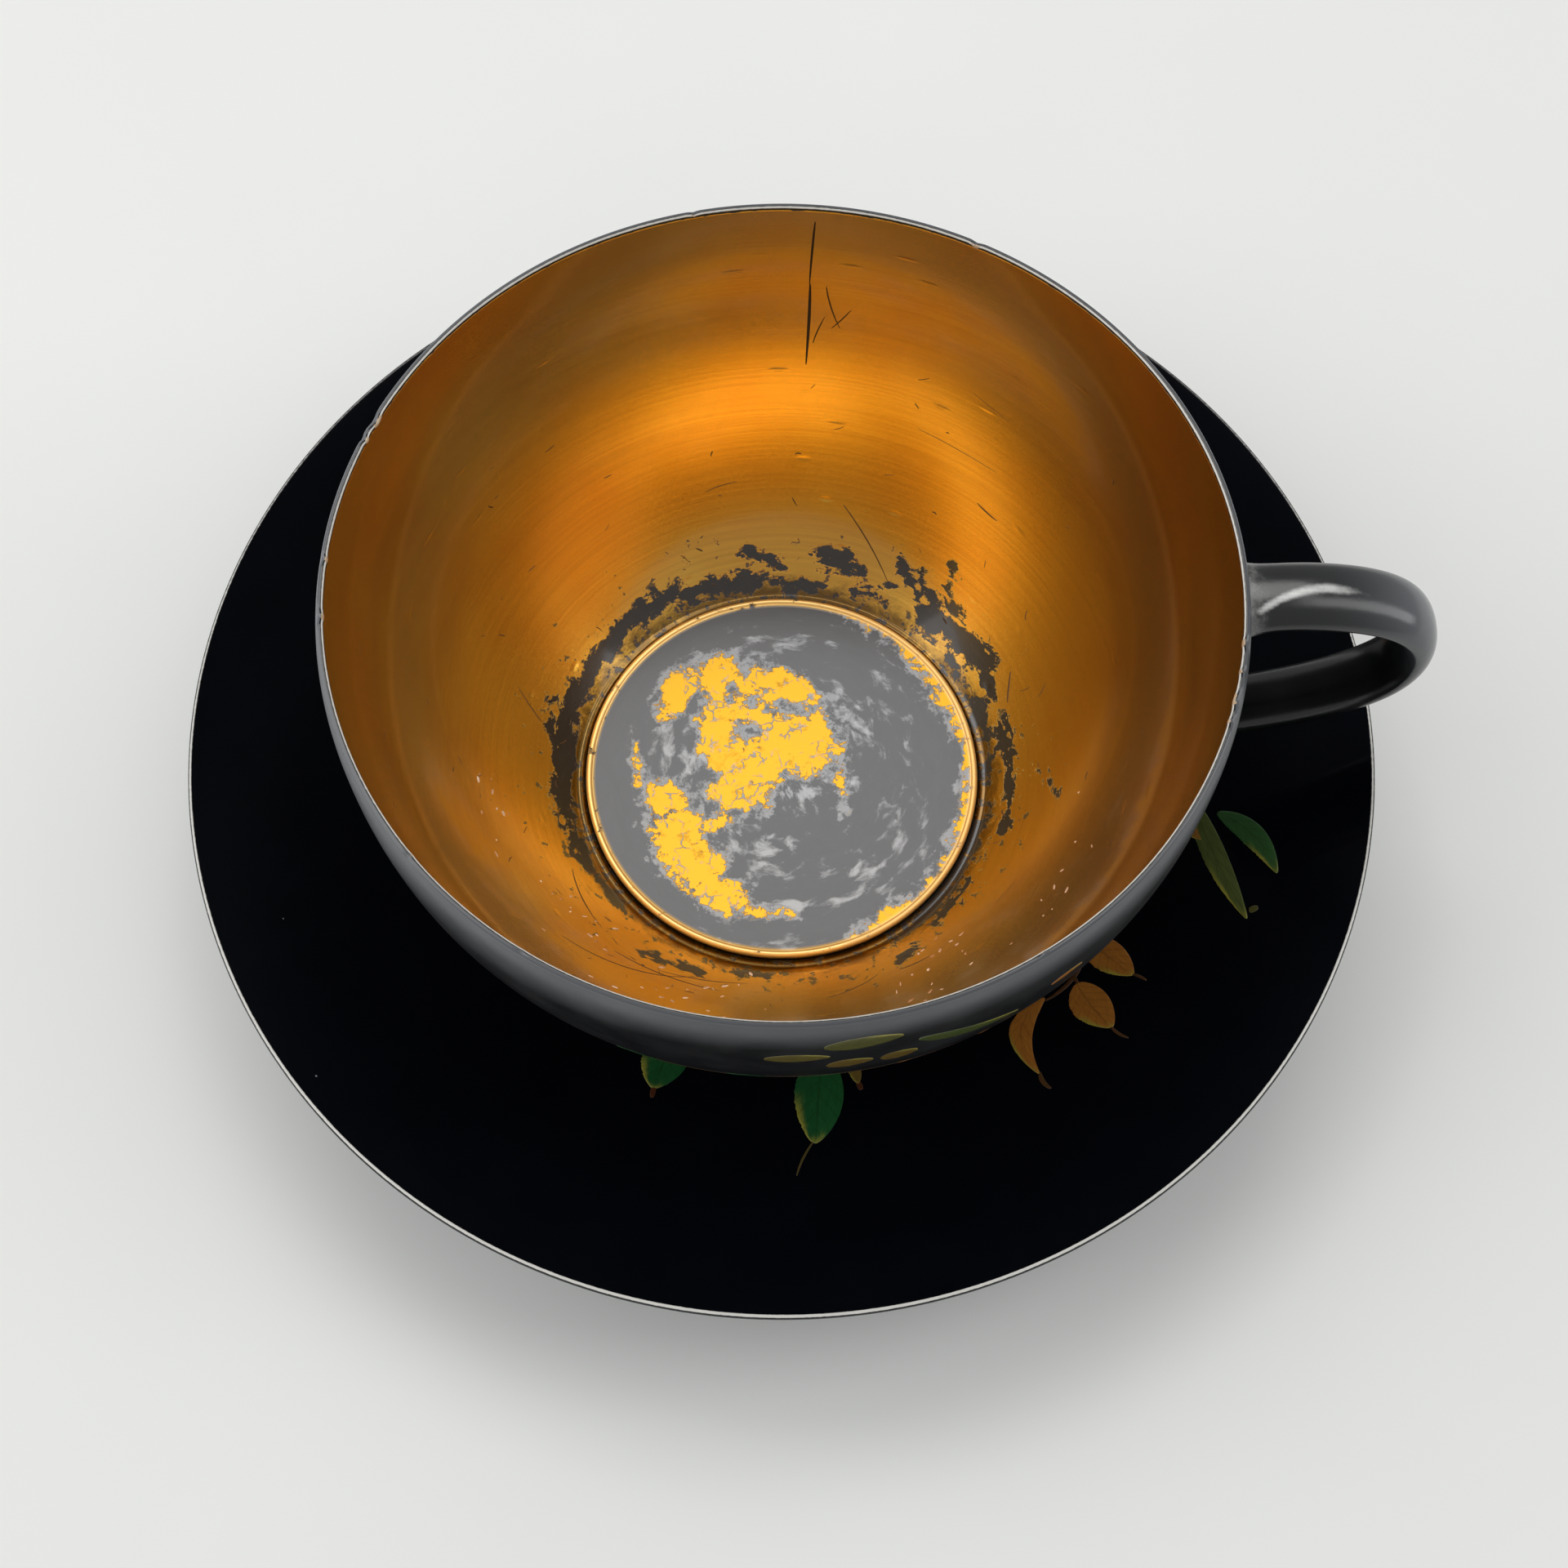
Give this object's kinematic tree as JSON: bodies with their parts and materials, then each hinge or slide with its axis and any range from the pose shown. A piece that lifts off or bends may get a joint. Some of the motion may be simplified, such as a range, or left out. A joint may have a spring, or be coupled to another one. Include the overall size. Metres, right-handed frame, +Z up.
{
  "type": "teacup and saucer",
  "caption": "Round lacquered wooden teacup with a bent loop handle and gold-lined bowl, standing on a deep round saucer that it lifts off.",
  "frame": {"origin": "on the turning axis of cup and saucer, at the surface that the saucer's foot stands on", "axes": "+Z up along the turning axis, +X towards the handle"},
  "size_m": [0.1407, 0.14, 0.0605],
  "materials": {
    "black_lacquer": "black lacquer on turned wood, polished gloss, with painted leaves",
    "gold_lacquer": "gold powder lacquer, satin gloss, worn near the floor",
    "floor_lacquer": "dark undercoat with cracked remains of gold lacquer, scuffed",
    "bamboo": "bare split bamboo"
  },
  "bodies": {
    "saucer": {"saucer_plate": "black_lacquer", "saucer_foot_ring": "black_lacquer"},
    "cup": {"cup_body": "black_lacquer", "cup_foot_ring": "black_lacquer", "cup_floor_disc": "floor_lacquer", "gold_lining": "gold_lacquer", "handle": "black_lacquer", "handle_upper_dowel": "bamboo", "handle_lower_dowel": "bamboo"}
  },
  "joints": [
    {"name": "cup_lift", "type": "slide", "parent": "saucer", "child": "cup", "axis": [0, 0, 1], "range_m": [0, 0.08]}
  ]
}
